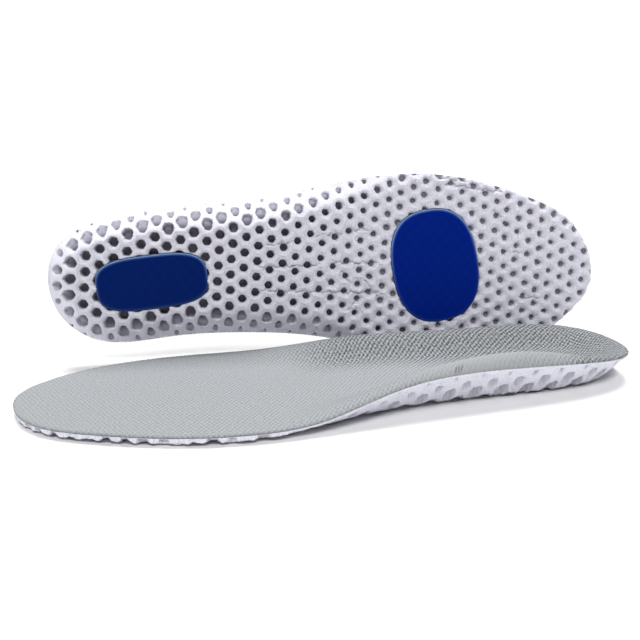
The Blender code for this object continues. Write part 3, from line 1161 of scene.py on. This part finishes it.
def build_pair(places):
    finishes = {
        "foam": foam_finish(),
        "cover": cover_finish(),
        "heel_pad": gel_finish("heel_gel", HEEL_GEL),
        "forefoot_pad": gel_finish("forefoot_gel", FOREFOOT_GEL),
    }
    cover = cover_shape()
    for side, place in places.items():
        body = f"{side}_insole"
        vertices, faces, dark = foam_shape(Lattice(**LATTICES[side]))
        # The depth attribute carries the foam's painted shade
        piece = make_piece(f"{side}_foam", vertices, faces, place, finishes["foam"], {"depth": dark})
        settle(piece, body, f"{side}_foam_body")
        fabric = make_piece(f"{side}_cover", *cover[:2], place, finishes["cover"], cover[2])
        settle(fabric, body, f"{side}_top_cover")
        for pad_name, pad in PADS.items():
            vertices, faces, edge = pad_shape(pad)
            name = f"{side}_{pad_name}_gel"
            # The edge attribute carries the gel's painted highlight
            gel = make_piece(name, vertices, faces, place, finishes[pad_name], {"edge": edge})
            settle(gel, body, f"{side}_{pad_name}")


def settle(piece, body, node):
    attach(piece, body)
    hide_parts(node)


def stage():
    """A wide pale floor."""
    mesh = bpy.data.meshes.new("floor")
    corners = [(FLOOR_REACH * x, FLOOR_REACH * y, 0.0) for x, y in ((-1, -1), (1, -1), (1, 1), (-1, 1))]
    mesh.from_pydata(corners, [], [(0, 1, 2, 3)])
    finish = Finish("floor", roughness=0.9, specular=0.0)
    finish.colour(FLOOR_COLOUR)
    mesh.materials.append(finish.material)
    floor = bpy.data.objects.new("floor", mesh)
    bpy.context.scene.collection.objects.link(floor)


def dome():
    """The world's light. It looks white from every side."""
    world = bpy.data.worlds.new("studio")
    bpy.context.scene.world = world
    world.use_nodes = True
    nodes = Nodes(world.node_tree)
    direction = nodes.tree.nodes.new("ShaderNodeTexCoord").outputs["Generated"]
    split = nodes.tree.nodes.new("ShaderNodeSeparateXYZ")
    nodes.put(split.inputs[0], direction)
    _, depth, height = split.outputs
    even = nodes.spread(depth, *FRONT_EDGE, FRONT_LIGHT, DOME_LIGHT, smooth=True)
    low = nodes.spread(height, *HORIZON_TOP, HORIZON_LIGHT - DOME_LIGHT, 0.0, smooth=True)
    behind = nodes.spread(depth, *BACK_EDGE, smooth=True)
    lit = nodes.math("MULTIPLY_ADD", low, behind, even)
    camera_ray = nodes.tree.nodes.new("ShaderNodeLightPath").outputs["Is Camera Ray"]
    seen = nodes.math("MULTIPLY", camera_ray, HORIZON_LIGHT)
    background = nodes.tree.nodes["Background"]
    nodes.put(background.inputs["Strength"], nodes.math("MAXIMUM", lit, seen))
    nodes.put(background.inputs["Color"], DOME_COLOUR)


def lamps():
    """Two broad lamps, above and in front."""
    for name, (strength, tilt, spread) in LAMPS.items():
        lamp = bpy.data.lights.new(name, "SUN")
        lamp.energy = strength
        lamp.angle = math.radians(spread)
        obj = bpy.data.objects.new(name, lamp)
        obj.rotation_euler = (math.radians(tilt), 0.0, 0.0)
        bpy.context.scene.collection.objects.link(obj)


def aim_camera(heel):
    elevation = math.radians(CAMERA_ELEVATION)
    heading = math.radians(CAMERA_HEADING)
    roll = math.radians(CAMERA_ROLL)
    forward = Vector((
        math.cos(elevation) * math.sin(heading),
        math.cos(elevation) * math.cos(heading),
        math.sin(elevation),
    ))
    level = Vector((math.cos(heading), -math.sin(heading), 0.0))
    upright = level.cross(forward)
    side = math.cos(roll) * level - math.sin(roll) * upright
    up = math.sin(roll) * level + math.cos(roll) * upright
    camera = bpy.data.objects.new("camera", bpy.data.cameras.new("camera"))
    camera.data.sensor_width = SENSOR_WIDTH
    camera.data.lens = CAMERA_LENS
    camera.data.clip_start = NEAREST_SEEN
    bpy.context.scene.collection.objects.link(camera)
    turn = Matrix((side, up, -forward)).transposed().to_4x4()
    camera.matrix_world = Matrix.Translation(heel + Vector(CAMERA_FROM_HEEL)) @ turn
    bpy.context.scene.camera = camera


def main():
    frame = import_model()
    places = insole_frames(frame)
    build_pair(places)
    stage()
    dome()
    lamps()
    aim_camera(places["left"][0].translation)
    bpy.context.scene.view_settings.view_transform = "Standard"
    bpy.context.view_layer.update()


main()
